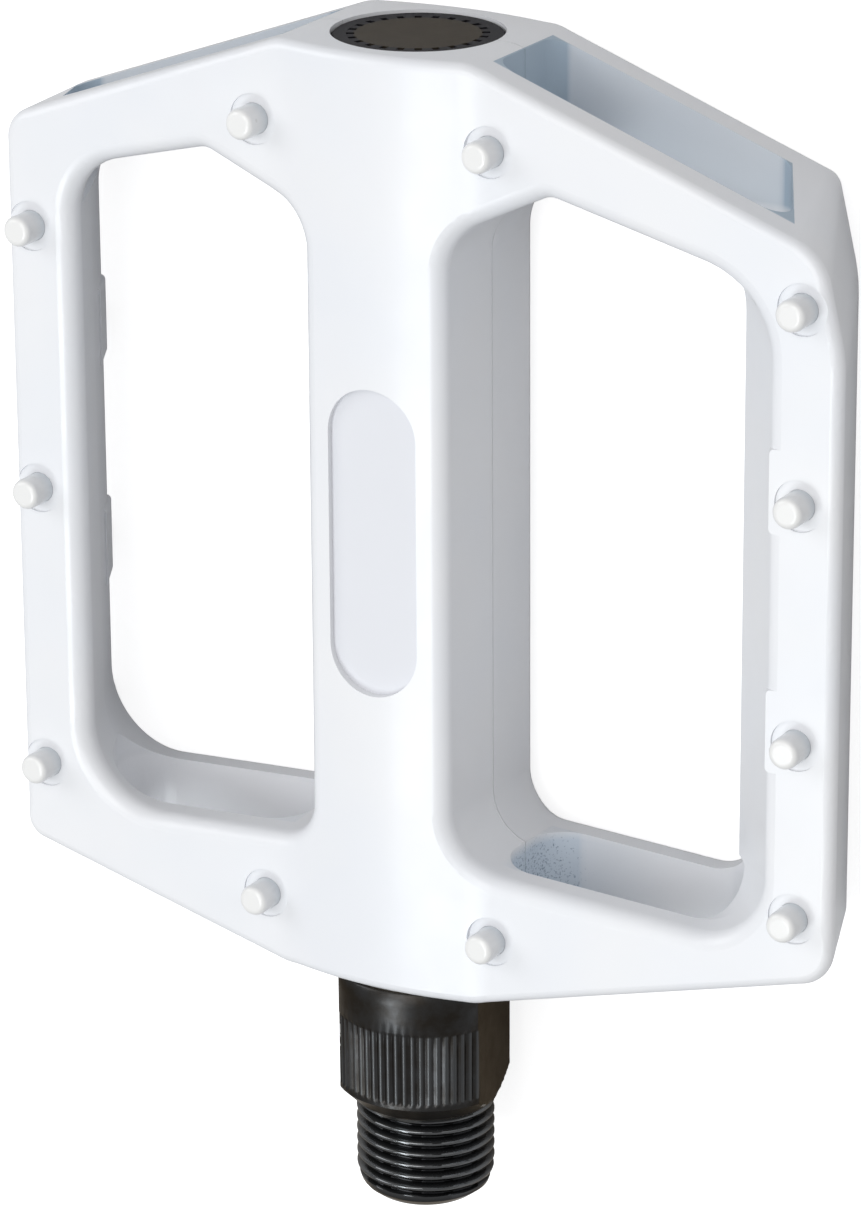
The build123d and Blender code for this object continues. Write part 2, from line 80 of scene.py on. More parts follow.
# shader and geometry trees share this one maths node
def mathNode(tree, operation, *values, clamp=False):
    node = addNode(tree, "ShaderNodeMath", operation=operation, use_clamp=clamp)
    for socket, value in zip(node.inputs, values):
        plug(tree, value, socket)
    return node.outputs[0]


def product(tree, first, second):
    return mathNode(tree, "MULTIPLY", first, second)


# how far a point lies from the spindle's axis
def fromAxis(tree, x, z):
    return mathNode(tree, "SQRT", mathNode(tree, "ADD", product(tree, x, x), product(tree, z, z)))


def rampNode(tree, value, low, high, outLow=0.0, outHigh=1.0, smooth=False):
    node = addNode(tree, "ShaderNodeMapRange", clamp=True)
    if smooth:
        node.interpolation_type = "SMOOTHSTEP"
    for socket, number in zip(node.inputs, (value, low, high, outLow, outHigh)):
        plug(tree, number, socket)
    return node.outputs[0]


def mixColour(tree, factor, first, second, blend="MIX"):
    node = addNode(tree, "ShaderNodeMix", data_type="RGBA", blend_type=blend)
    for socket, value in ((node.inputs[0], factor), (node.inputs[6], first), (node.inputs[7], second)):
        plug(tree, (*value, 1) if isinstance(value, tuple) and len(value) == 3 else value, socket)
    return node.outputs[2]


def noiseNode(tree, coordinates, scale, detail=2.0, roughness=0.5):
    node = addNode(tree, "ShaderNodeTexNoise")
    setInputs(node, Scale=scale, Detail=detail, Roughness=roughness)
    plug(tree, coordinates, node.inputs["Vector"])
    return node.outputs["Fac"]


def objectPlace(tree):
    return addNode(tree, "ShaderNodeTexCoord").outputs["Object"]


def split(tree, vector):
    node = addNode(tree, "ShaderNodeSeparateXYZ")
    plug(tree, vector, node.inputs[0])
    return node.outputs[0], node.outputs[1], node.outputs[2]


def newMaterial(name, roughness, metallic=0.0):
    material = bpy.data.materials.new(name)
    material.use_nodes = True
    tree = material.node_tree
    tree.nodes.clear()
    output = tree.nodes.new("ShaderNodeOutputMaterial")
    shader = tree.nodes.new("ShaderNodeBsdfPrincipled")
    tree.links.new(shader.outputs["BSDF"], output.inputs["Surface"])
    setInputs(shader, Roughness=roughness, Metallic=metallic)
    return material, tree, shader


# heights are in metres, so the bump's own distance stays 1
def bumpFrom(tree, shader, height):
    bump = addNode(tree, "ShaderNodeBump")
    setInputs(bump, Strength=1.0, Distance=1.0)
    plug(tree, height, bump.inputs["Height"])
    plug(tree, bump.outputs["Normal"], shader.inputs["Normal"])


def newGroup(name, kind, inputs, outputs):
    group = bpy.data.node_groups.new(name, kind)
    for side, sockets in (("INPUT", inputs), ("OUTPUT", outputs)):
        for label, socketType, value in sockets:
            socket = group.interface.new_socket(name=label, in_out=side, socket_type=socketType)
            if value is not None:
                socket.default_value = value
    return group, group.nodes.new("NodeGroupInput"), group.nodes.new("NodeGroupOutput")


def useGroup(tree, group, **values):
    node = addNode(tree, "ShaderNodeGroup", node_tree=group)
    for key, value in values.items():
        plug(tree, value, node.inputs[key.replace("_", " ")])
    return node


cameraSet = {
    "place": (0.265549, 0.242249, 0.458265),
    "right": (0.867091, -0.006083, -0.498113),
    "up": (-0.162212, 0.941979, -0.293875),
    "focalLength": 234.15,
    "sensorWidth": 36.0,
    "clip": (0.01, 20),
}


def makeCamera(s):
    data = bpy.data.cameras.new("productCamera")
    data.sensor_fit = "HORIZONTAL"
    data.sensor_width = s["sensorWidth"]
    data.lens = s["focalLength"]
    data.clip_start, data.clip_end = s["clip"]
    camera = bpy.data.objects.new("productCamera", data)
    right = Vector(s["right"]).normalized()
    back = right.cross(Vector(s["up"])).normalized()
    up = back.cross(right)
    turn = Matrix((right, up, back)).transposed().to_4x4()
    camera.matrix_world = Matrix.Translation(Vector(s["place"])) @ turn
    bpy.context.scene.collection.objects.link(camera)
    bpy.context.scene.camera = camera


floorSet = {"size": 6.0, "colour": (0.62, 0.62, 0.625), "glow": 0.78}


def makeFloor(s):
    half = s["size"] / 2
    z = cadBox[0][2]
    mesh = bpy.data.meshes.new("paleFloor")
    corners = [(-half, -half, z), (half, -half, z), (half, half, z), (-half, half, z)]
    mesh.from_pydata(corners, [], [(0, 1, 2, 3)])
    floor = bpy.data.objects.new("paleFloor", mesh)
    bpy.context.scene.collection.objects.link(floor)
    material, tree, shader = newMaterial("palePaper", 0.9)
    setInputs(shader, Base_Color=(*s["colour"], 1))
    # the paper glows only where it is looked at, so it lights nothing
    glow = addNode(tree, "ShaderNodeEmission")
    setInputs(glow, Strength=s["glow"])
    both = addNode(tree, "ShaderNodeAddShader")
    path = addNode(tree, "ShaderNodeLightPath")
    pick = addNode(tree, "ShaderNodeMixShader")
    plug(tree, shader.outputs[0], both.inputs[0])
    plug(tree, glow.outputs[0], both.inputs[1])
    plug(tree, path.outputs["Is Camera Ray"], pick.inputs[0])
    plug(tree, shader.outputs[0], pick.inputs[1])
    plug(tree, both.outputs[0], pick.inputs[2])
    plug(tree, pick.outputs[0], tree.nodes["Material Output"].inputs["Surface"])
    mesh.materials.append(material)


lightSet = {
    "world": 0.385,
    "aim": (0.0, 0.055, 0.0),
    "panels": [
        {"name": "keyPanel", "place": (0.08, 0.30, 0.95), "size": 0.7, "power": 4.0,
         "colour": (1.0, 0.995, 0.99)},
        {"name": "fillPanel", "place": (-0.8, 0.5, 0.7), "size": 0.6, "power": 2.5,
         "colour": (0.97, 0.98, 1.0)},
        {"name": "rightPanel", "place": (0.75, 0.45, 0.40), "size": 0.7, "power": 0.5,
         "colour": (1.0, 0.995, 0.99)},
        {"name": "crankSidePanel", "place": (-0.16, -0.27, 0.92), "size": 0.36, "power": 2.5,
         "colour": (0.93, 0.98, 1.0)},
    ],
}


def makeLights(s):
    world = bpy.data.worlds.new("studio")
    world.use_nodes = True
    setInputs(world.node_tree.nodes["Background"], Color=(1, 1, 1, 1), Strength=s["world"])
    bpy.context.scene.world = world
    for item in s["panels"]:
        data = bpy.data.lights.new(item["name"], "AREA")
        data.shape = "SQUARE"
        data.size = item["size"]
        data.energy = item["power"]
        data.color = item["colour"]
        lamp = bpy.data.objects.new(item["name"], data)
        place = Vector(item["place"])
        turn = (Vector(s["aim"]) - place).to_track_quat("-Z", "Y").to_matrix().to_4x4()
        lamp.matrix_world = Matrix.Translation(place) @ turn
        bpy.context.scene.collection.objects.link(lamp)
    bpy.context.scene.view_settings.view_transform = "Standard"


makeCamera(cameraSet)
makeFloor(floorSet)
makeLights(lightSet)
print("camera, floor and lights made")


# shared surface effects, one node group each; they give heights in metres or masks
def makeOrangePeel():
    group, inlet, outlet = newGroup(
        "orangePeel", "ShaderNodeTree",
        [("Ripple Scale", "NodeSocketFloat", 650.0), ("Ripple Height", "NodeSocketFloat", 5e-6)],
        [("Height", "NodeSocketFloat", None)])
    place = objectPlace(group)
    ripple = addNode(group, "ShaderNodeTexNoise")
    setInputs(ripple, Detail=1.5, Roughness=0.45)
    plug(group, place, ripple.inputs["Vector"])
    plug(group, inlet.outputs["Ripple Scale"], ripple.inputs["Scale"])
    height = mathNode(group, "MULTIPLY", ripple.outputs["Fac"], inlet.outputs["Ripple Height"])
    plug(group, height, outlet.inputs["Height"])
    return group


def makeCastGrain():
    group, inlet, outlet = newGroup(
        "castGrain", "ShaderNodeTree",
        [("Grain Scale", "NodeSocketFloat", 2600.0), ("Grain Height", "NodeSocketFloat", 2.5e-5)],
        [("Height", "NodeSocketFloat", None), ("Blotch", "NodeSocketFloat", None)])
    place = objectPlace(group)
    grain = addNode(group, "ShaderNodeTexNoise")
    setInputs(grain, Detail=4.0, Roughness=0.65)
    plug(group, place, grain.inputs["Vector"])
    plug(group, inlet.outputs["Grain Scale"], grain.inputs["Scale"])
    height = mathNode(group, "MULTIPLY", grain.outputs["Fac"], inlet.outputs["Grain Height"])
    plug(group, height, outlet.inputs["Height"])
    blotchScale = 420
    plug(group, noiseNode(group, place, blotchScale, 3.0, 0.6), outlet.inputs["Blotch"])
    return group


def makeSpecks():
    group, inlet, outlet = newGroup(
        "specks", "ShaderNodeTree",
        [("Speck Scale", "NodeSocketFloat", 160.0), ("Share", "NodeSocketFloat", 0.06),
         ("Speck Size", "NodeSocketFloat", 0.035)],
        [("Mask", "NodeSocketFloat", None)])
    cells = addNode(group, "ShaderNodeTexVoronoi")
    plug(group, objectPlace(group), cells.inputs["Vector"])
    plug(group, inlet.outputs["Speck Scale"], cells.inputs["Scale"])
    near = mathNode(group, "LESS_THAN", cells.outputs["Distance"], inlet.outputs["Speck Size"])
    red = addNode(group, "ShaderNodeSeparateColor")
    plug(group, cells.outputs["Color"], red.inputs[0])
    chosen = mathNode(group, "LESS_THAN", red.outputs[0], inlet.outputs["Share"])
    plug(group, mathNode(group, "MULTIPLY", near, chosen), outlet.inputs["Mask"])
    return group


orangePeel = makeOrangePeel()
castGrain = makeCastGrain()
specks = makeSpecks()

paintSet = {
    "colour": (0.83, 0.835, 0.855),
    "cool": (0.805, 0.82, 0.855),
    # the slot colours are painted shade, bluish, over thinner paint on the rough casting
    "slotShadeColour": (0.58, 0.66, 0.75),
    "slotFar": (0.74, 0.755, 0.785),      # the far end of a slot, lighter: less painted shade there
    "slotSpeck": (0.20, 0.27, 0.36),
    "unshadedSlot": (0.84, 0.85, 0.88),       # the inboard slot on the -X side, near the outside paint, without painted shade
    "outboardSlotShade": (0.39, 0.48, 0.57),
    "speck": (0.45, 0.44, 0.43),
    "field": (0.74, 0.75, 0.79),   # the sunk field on the barrel, darker and bluer as painted shade in the recess
    "fieldDepth": 1.0,
    "fieldReach": 5.6,
    "roughness": 0.36,
    "slotNear": 11.65,             # mm from the spindle axis, near end of a slot
    "slotFarEnds": (37.2, 40.7),   # far ends, inboard and outboard
    "slotLean": 0.518,             # a far end leans like the rail beside it
    "slotHalfHeight": 6.05,
    "slotEnds": (30.2, 97.5),      # mm along the spindle, the slots lie outside these
    "slotEndFade": 1.2,            # mm over which the slot's rough grain and painted shade start
    "slotEdgeFade": 0.25,
    "slotShadeReach": 14.0,        # mm from the near end to the slot's lightest painted shade
    "slotRoughness": 0.3,          # added in a slot
    "sideFade": 2.0,
    "bareScale": 3300,             # bare specks in a slot
    "bareLevels": (0.42, 0.5),
    "bareStrength": 0.85,
    "bareDepth": (12.0, 0.14),     # fewer of them over this stretch along the spindle, by this much
    "bareReach": (9.0, 0.3),       # and across
    "fieldTolerance": 0.03,
    "seamReach": 21.0,             # the mould's seam shows this near the barrel
    "seamFade": 4.0,
    "seamWidth": 0.2,
    "seamHeight": 1.1e-4,
    "driftScale": 55,
    "sheenScale": 240,
    "sheenSpread": (-0.05, 0.06),
    "coat": (0.25, 0.16),          # weight and roughness
}


def paintedCasting(s):
    material, tree, shader = newMaterial("whitePaintedCasting", s["roughness"])
    place = objectPlace(tree)
    x, y, z = split(tree, place)
    side = mathNode(tree, "ABSOLUTE", x)
    level = mathNode(tree, "ABSOLUTE", z)
    near, far = s["slotNear"], s["slotFarEnds"]
    low, high = s["slotEnds"]
    fade = s["slotEndFade"]
    lean = product(tree, product(tree, z, mathNode(tree, "SIGN", x)), s["slotLean"])
    reach = mathNode(tree, "SUBTRACT", side, lean)
    farEnd = rampNode(tree, y, low * mm, high * mm, far[0] * mm, far[1] * mm)
    inReach = product(tree, mathNode(tree, "GREATER_THAN", side, near * mm),
                      mathNode(tree, "LESS_THAN", reach, farEnd))
    half = s["slotHalfHeight"]
    inHeight = rampNode(tree, level, half * mm, (half - s["slotEdgeFade"]) * mm)
    atCrank = rampNode(tree, y, low * mm, (low - fade) * mm)
    atCap = rampNode(tree, y, high * mm, (high + fade) * mm)
    atEnds = mathNode(tree, "ADD", atCrank, atCap, clamp=True)
    slot = product(tree, product(tree, inReach, inHeight), atEnds)
    # the paint lies thick on the outside and thin over the rough casting in a slot
    peel = useGroup(tree, orangePeel)
    grain = useGroup(tree, castGrain)
    height = mathNode(tree, "ADD", peel.outputs["Height"], product(tree, grain.outputs["Height"], slot))
    seam = product(tree, rampNode(tree, level, s["seamWidth"] * mm, 0.0, smooth=True),
                   rampNode(tree, side, s["seamReach"] * mm, (s["seamReach"] - s["seamFade"]) * mm))
    bumpFrom(tree, shader, mathNode(tree, "ADD", height, product(tree, seam, s["seamHeight"])))
    drift = rampNode(tree, noiseNode(tree, place, s["driftScale"], 2.0), 0.35, 0.65)
    paint = mixColour(tree, drift, s["colour"], s["cool"])
    # painted shade in a slot: bluish and darkest near the barrel, lighter towards its far end
    slotShadeFade = rampNode(tree, side, near * mm, (near + s["slotShadeReach"]) * mm)
    thinPaintAndShade = mixColour(tree, slotShadeFade, s["slotShadeColour"], s["slotFar"])
    # bare specks gather deep inside, near the barrel
    stretch, fewer = s["bareDepth"]
    deep = rampNode(tree, y, (low - stretch) * mm, low * mm, 0.0, fewer)
    stretch, fewer = s["bareReach"]
    away = rampNode(tree, side, near * mm, (near + stretch) * mm, 0.0, fewer)
    bare = mathNode(tree, "SUBTRACT", noiseNode(tree, place, s["bareScale"], 3.0, 0.7),
                    mathNode(tree, "ADD", deep, away))
    speckled = rampNode(tree, bare, *s["bareLevels"], 0.0, s["bareStrength"])
    thinPaintAndShade = mixColour(tree, speckled, thinPaintAndShade, s["slotSpeck"])
    # the outboard slots get a darker painted shade
    thinPaintAndShade = mixColour(tree, atCap, thinPaintAndShade, s["outboardSlotShade"])
    # the inboard slot on the -X side is left without the painted shade
    onUnshadedSlot = product(tree, rampNode(tree, x, 0.0, -s["sideFade"] * mm), atCrank)
    thinPaintAndShade = mixColour(tree, onUnshadedSlot, thinPaintAndShade, s["unshadedSlot"])
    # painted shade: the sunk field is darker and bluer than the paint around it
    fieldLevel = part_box("cage_body")[1][2] - s["fieldDepth"] * mm
    offField = mathNode(tree, "ABSOLUTE", mathNode(tree, "SUBTRACT", level, fieldLevel))
    atField = mathNode(tree, "LESS_THAN", offField, s["fieldTolerance"] * mm)
    inField = product(tree, atField, mathNode(tree, "LESS_THAN", side, s["fieldReach"] * mm))
    paint = mixColour(tree, inField, paint, s["field"])
    colour = mixColour(tree, slot, paint, thinPaintAndShade)
    spot = useGroup(tree, specks)
    colour = mixColour(tree, spot.outputs["Mask"], colour, s["speck"])
    plug(tree, colour, shader.inputs["Base Color"])
    smoother, rougher = s["sheenSpread"]
    sheen = rampNode(tree, noiseNode(tree, place, s["sheenScale"], 3.0), 0.3, 0.7,
                     s["roughness"] + smoother, s["roughness"] + rougher)
    roughness = mathNode(tree, "ADD", sheen, product(tree, slot, s["slotRoughness"]))
    plug(tree, roughness, shader.inputs["Roughness"])
    setInputs(shader, Coat_Weight=s["coat"][0], Coat_Roughness=s["coat"][1])
    return material


pinPaintSet = {
    # the pins carry painted shade and highlight: darker bluish sides, darkest at the foot, a lighter tip
    "colour": (0.76, 0.765, 0.775), "shade": (0.66, 0.70, 0.74), "tip": (0.83, 0.828, 0.82),
    "mark": (0.6, 0.6, 0.6), "markStrength": 0.6, "roughness": 0.3,
    "tipBand": (0.4, 0.1),     # mm below the tip, the painted shade gives way to the lighter tip over this
    "coat": (0.4, 0.1),        # weight and roughness
}


def paintedPin(s, standing):
    material, tree, shader = newMaterial("whitePinPaint", s["roughness"])
    place = objectPlace(tree)
    level = mathNode(tree, "ABSOLUTE", split(tree, place)[2])
    foot, top = standing
    # painted shade up the side, darkest at the foot, and a lighter painted tip
    body = mixColour(tree, rampNode(tree, level, foot, (foot + top) / 2), s["shade"], s["colour"])
    start, stop = s["tipBand"]
    colour = mixColour(tree, rampNode(tree, level, top - start * mm, top - stop * mm), body, s["tip"])
    marks = useGroup(tree, specks, Speck_Scale=420.0, Share=0.25, Speck_Size=0.09)
    colour = mixColour(tree, product(tree, marks.outputs["Mask"], s["markStrength"]), colour, s["mark"])
    plug(tree, colour, shader.inputs["Base Color"])
    peel = useGroup(tree, orangePeel, Ripple_Scale=1100.0, Ripple_Height=9e-6)
    bumpFrom(tree, shader, peel.outputs["Height"])
    setInputs(shader, Coat_Weight=s["coat"][0], Coat_Roughness=s["coat"][1])
    return material


spindleSet = {
    "segments": 396,
    "threadEnd": 10.4,           # mm, the lathe's own sizes
    "leadIn": [(10.4, 5.15), (10.2, 5.5), (9.35, 6.6), (7.7, 7.145)],
    "majorRadius": 7.145,
    "pitch": 1.27,
    "threadDepth": 0.74,
    "rowsPerTurn": 12,
    "runOut": 0.5,
    "coneTop": 2.05,
    "collarRadius": 9.2,
    "collarEndRadius": 9.35,
    "collarTop": 15.0,
    "knurl": (2.35, 10.6),
    "ribs": 66,
    "ribHeight": 0.22,
    "ribFade": 0.45,
    "hexAcross": 6.0,
    "hexDepth": 6.5,
    "hexBevel": (0.35, 0.5),     # across and along, at the socket's mouth
    "endFace": 4.2,              # a ring of the flat end face
    "tipMargin": 0.2,            # end of the spindle to the first row of the thread
    "step": 0.15,                # the thread and the collar end this much narrower
    "coneRows": 6,
    "plainRows": (12.0, 13.5, 14.8),
    "socketTip": 1.2,            # the socket's drilled tip, past its hexagon
    "sharpAngle": 42,
    "inner": [(6.0, 15.05), (6.0, 27.2), (5.3, 28.0), (4.95, 89.4), (4.95, 99.4), (4.0, 99.4), (4.0, 104.2),
              (3.5, 104.2), (3.5, 109.8), (2.9, 110.4)],
}


# one row is (radius, place along the spindle, True where the row is a hexagon), in mm
def spindleRows(s):
    end = -s["threadEnd"]
    hexRadius = s["hexAcross"] / 2
    across, along = s["hexBevel"]
    rows = [(hexRadius, end + s["hexDepth"], True), (hexRadius, end + along, True),
            (hexRadius + across, end, True), (s["endFace"], end, False), (s["leadIn"][0][1], end, False)]
    step = s["pitch"] / s["rowsPerTurn"]
    deepest = s["threadEnd"] - s["tipMargin"]
    for k in range(int(deepest / step)):
        depth = deepest - k * step
        rows.append((leadInRadius(s, depth), -depth, False))
    rows.append((s["majorRadius"] - s["step"], 0.0, False))
    for k in range(1, s["coneRows"]):
        share = k / s["coneRows"]
        radius = s["majorRadius"] + share * (s["collarRadius"] - s["majorRadius"])
        rows.append((radius, share * s["coneTop"], False))
    start, stop = s["knurl"]
    fade = s["ribFade"]
    places = [s["coneTop"], start, start + fade / 3, start + fade * 2 / 3, start + fade]
    places += [start + fade + (stop - start - 2 * fade) * k / 6 for k in range(1, 6)]
    places += [stop - fade, stop - fade * 2 / 3, stop - fade / 3, stop, *s["plainRows"]]
    for y in places:
        rows.append((collarRadius(s, y), y, False))
    rows.append((collarRadius(s, s["collarTop"]) - s["step"], s["collarTop"], False))
    rows += [(radius, y, False) for radius, y in s["inner"]]
    return rows


def leadInRadius(s, depth):
    points = s["leadIn"]
    for (deep, low), (shallow, high) in zip(points, points[1:]):
        if depth >= shallow:
            return low + (high - low) * (deep - depth) / (deep - shallow)
    return s["majorRadius"]


def collarRadius(s, y):
    share = (y - s["coneTop"]) / (s["collarTop"] - s["coneTop"])
    return s["collarRadius"] + share * (s["collarEndRadius"] - s["collarRadius"])


def latheObject(name, rows, segments, tipStart, tipEnd):
    mesh = bpy.data.meshes.new(name)
    form = bmesh.new()
    rings = []
    for radius, y, isHexagon in rows:
        ring = []
        for k in range(segments):
            angle = 2 * math.pi * k / segments
            reach = radius
            if isHexagon:
                reach = radius / math.cos((angle % (math.pi / 3)) - math.pi / 6)
            ring.append(form.verts.new((reach * math.sin(angle) * mm, y * mm, reach * math.cos(angle) * mm)))
        rings.append(ring)
    for low, high in zip(rings, rings[1:]):
        for k in range(segments):
            nextOne = (k + 1) % segments
            form.faces.new((low[k], low[nextOne], high[nextOne], high[k]))
    for ring, y in ((rings[0], tipStart), (rings[-1], tipEnd)):
        centre = form.verts.new((0, y * mm, 0))
        for k in range(segments):
            form.faces.new((ring[k], ring[(k + 1) % segments], centre))
    bmesh.ops.recalc_face_normals(form, faces=form.faces)
    form.to_mesh(mesh)
    form.free()
    thing = bpy.data.objects.new(name, mesh)
    bpy.context.scene.collection.objects.link(thing)
    return thing


# the spanner flats' outward direction and distance, read from the CAD spindle
def findFlats(node):
    upright = [face for face in node.data.polygons if abs(face.normal.y) < 1e-3 and face.center.y > 0]
    flat = max(upright, key=lambda face: face.area)
    normal = flat.normal.copy()
    if normal.x < 0:
        normal = -normal
    return normal, abs(flat.center.dot(normal))


# Geometry Nodes cut the thread, raise the ribs and mill the flats on the turned blank
def machiningTree():
    number = "NodeSocketFloat"
    group, inlet, outlet = newGroup(
        "spindleMachining", "GeometryNodeTree",
        [("Geometry", "NodeSocketGeometry", None), ("Pitch", number, 1.0), ("Major Radius", number, 1.0),
         ("Thread Depth", number, 1.0), ("Run Out", number, 1.0), ("Rib Count", number, 1.0),
         ("Rib Height", number, 1.0), ("Knurl Start", number, 0.0), ("Knurl End", number, 1.0),
         ("Rib Fade", number, 1.0), ("Flat X", number, 1.0), ("Flat Z", number, 0.0),
         ("Flat Distance", number, 1.0), ("Collar Top", number, 1.0), ("Finish", "NodeSocketMaterial", None)],
        [("Geometry", "NodeSocketGeometry", None)])
    give = inlet.outputs

    def calc(operation, *values):
        return mathNode(group, operation, *values)

    x, y, z = split(group, addNode(group, "GeometryNodeInputPosition").outputs[0])
    angle = calc("ARCTAN2", x, z)
    radius = fromAxis(group, x, z)
    turn = calc("FRACT", calc("ADD", calc("DIVIDE", y, give["Pitch"]), calc("DIVIDE", angle, 2 * math.pi)))
    flank = calc("ABSOLUTE", calc("SUBTRACT", calc("MULTIPLY", turn, 2.0), 1.0))
    tooth = rampNode(group, flank, 0.06, 0.9, smooth=True)
    # the thread runs out just below the cone, and stays out of the socket
    begun = rampNode(group, y, 0.0, calc("MULTIPLY", give["Run Out"], -1.0))
    valley = calc("MULTIPLY", calc("SUBTRACT", 1.0, tooth), calc("MULTIPLY", give["Thread Depth"], begun))
    cut = calc("MINIMUM", radius, calc("SUBTRACT", give["Major Radius"], valley))
    socketLimit = 5.3 * mm
    outside = calc("MULTIPLY", calc("GREATER_THAN", radius, socketLimit), calc("LESS_THAN", y, 0.0))
    threaded = calc("ADD", radius, calc("MULTIPLY", outside, calc("SUBTRACT", cut, radius)))
    wave = calc("COSINE", calc("MULTIPLY", angle, give["Rib Count"]))
    gap = calc("POWER", calc("MULTIPLY", calc("SUBTRACT", 1.0, wave), 0.5), 1.3)
    start, end, fade = give["Knurl Start"], give["Knurl End"], give["Rib Fade"]
    along = calc("MULTIPLY", rampNode(group, y, start, calc("ADD", start, fade), smooth=True),
                 rampNode(group, y, end, calc("SUBTRACT", end, fade), smooth=True))
    groove = calc("MULTIPLY", calc("MULTIPLY", gap, give["Rib Height"]), along)
    ribbed = calc("SUBTRACT", threaded, groove)
    scale = calc("DIVIDE", ribbed, calc("MAXIMUM", radius, 1e-6))
    newX = calc("MULTIPLY", x, scale)
    newZ = calc("MULTIPLY", z, scale)
    # past a flat, a point is pushed straight back on to it
    reach = calc("ADD", calc("MULTIPLY", newX, give["Flat X"]), calc("MULTIPLY", newZ, give["Flat Z"]))
    limit = give["Flat Distance"]
    held = calc("MINIMUM", calc("MAXIMUM", reach, calc("MULTIPLY", limit, -1.0)), limit)
    over = calc("SUBTRACT", reach, held)
    belowTop = calc("LESS_THAN", y, calc("ADD", give["Collar Top"], 0.01 * mm))
    onCollar = calc("MULTIPLY", calc("GREATER_THAN", y, 0.0), belowTop)
    over = calc("MULTIPLY", over, onCollar)
    newX = calc("SUBTRACT", newX, calc("MULTIPLY", over, give["Flat X"]))
    newZ = calc("SUBTRACT", newZ, calc("MULTIPLY", over, give["Flat Z"]))
    place = addNode(group, "ShaderNodeCombineXYZ")
    for value, socket in zip((newX, y, newZ), place.inputs):
        plug(group, value, socket)
    # how deep a point lies on a flat, kept for the finish
    store = addNode(group, "GeometryNodeStoreNamedAttribute", data_type="FLOAT", domain="POINT")
    setInputs(store, Name="milled")
    plug(group, give["Geometry"], store.inputs["Geometry"])
    plug(group, calc("ABSOLUTE", over), store.inputs["Value"])
    # how high a point lies on a rib, for the painted highlight on its crest
    crest = addNode(group, "GeometryNodeStoreNamedAttribute", data_type="FLOAT", domain="POINT")
    setInputs(crest, Name="ribCrest")
    plug(group, store.outputs["Geometry"], crest.inputs["Geometry"])
    plug(group, calc("MULTIPLY", calc("SUBTRACT", 1.0, gap), along), crest.inputs["Value"])
    move = addNode(group, "GeometryNodeSetPosition")
    plug(group, crest.outputs["Geometry"], move.inputs["Geometry"])
    plug(group, place.outputs[0], move.inputs["Position"])
    real = addNode(group, "GeometryNodeRealizeInstances")
    plug(group, move.outputs[0], real.inputs[0])
    dress = addNode(group, "GeometryNodeSetMaterial")
    plug(group, real.outputs[0], dress.inputs["Geometry"])
    plug(group, give["Finish"], dress.inputs["Material"])
    plug(group, dress.outputs[0], outlet.inputs[0])
    return group


def runTree(thing, group, values):
    modifier = thing.modifiers.new(group.name, "NODES")
    modifier.node_group = group
    for socket in group.interface.items_tree:
        if socket.in_out == "INPUT" and socket.name in values:
            modifier[socket.identifier] = values[socket.name]
    bpy.context.view_layer.update()
    view = bpy.context.evaluated_depsgraph_get()
    mesh = bpy.data.meshes.new_from_object(thing.evaluated_get(view), depsgraph=view)
    thing.modifiers.remove(modifier)
    thing.data = mesh
    mesh.shade_smooth()
    return thing


blackSteelSet = {
    "edge": (0.62, 0.56, 0.49), "collar": (0.056, 0.057, 0.059), "brown": (0.031, 0.027, 0.023),
    "flat": (0.036, 0.027, 0.019), "thread": (0.15, 0.155, 0.16),
    # valley is painted shade between the thread's turns
    "valley": (0.022, 0.023, 0.025), "threadHeights": (6.5, 7.1),
    # crest is a painted highlight on the knurl's ribs
    "crest": (0.11, 0.115, 0.12), "chip": (0.62, 0.62, 0.60),
    "collarRoughness": 0.33, "threadRoughness": 0.14, "metallic": 0.9,
    "patchScale": 260, "patchSpread": (-0.05, 0.06),
    "crestHighlight": (0.55, 0.98, 0.8),    # from, to and strength of the painted highlight, by height on a rib
    "flatFade": 0.05,                  # mm
    "chipBand": (0.004, 0.02, 0.12),   # mm of milling, where the finish chips beside a flat
    "chipScale": 330, "chipShare": 0.6,
    "lineScale": 5200, "lineHeight": 2.5e-6, "pitScale": 1900, "pitHeight": 6e-6,
    "threadBump": 0.25,
}


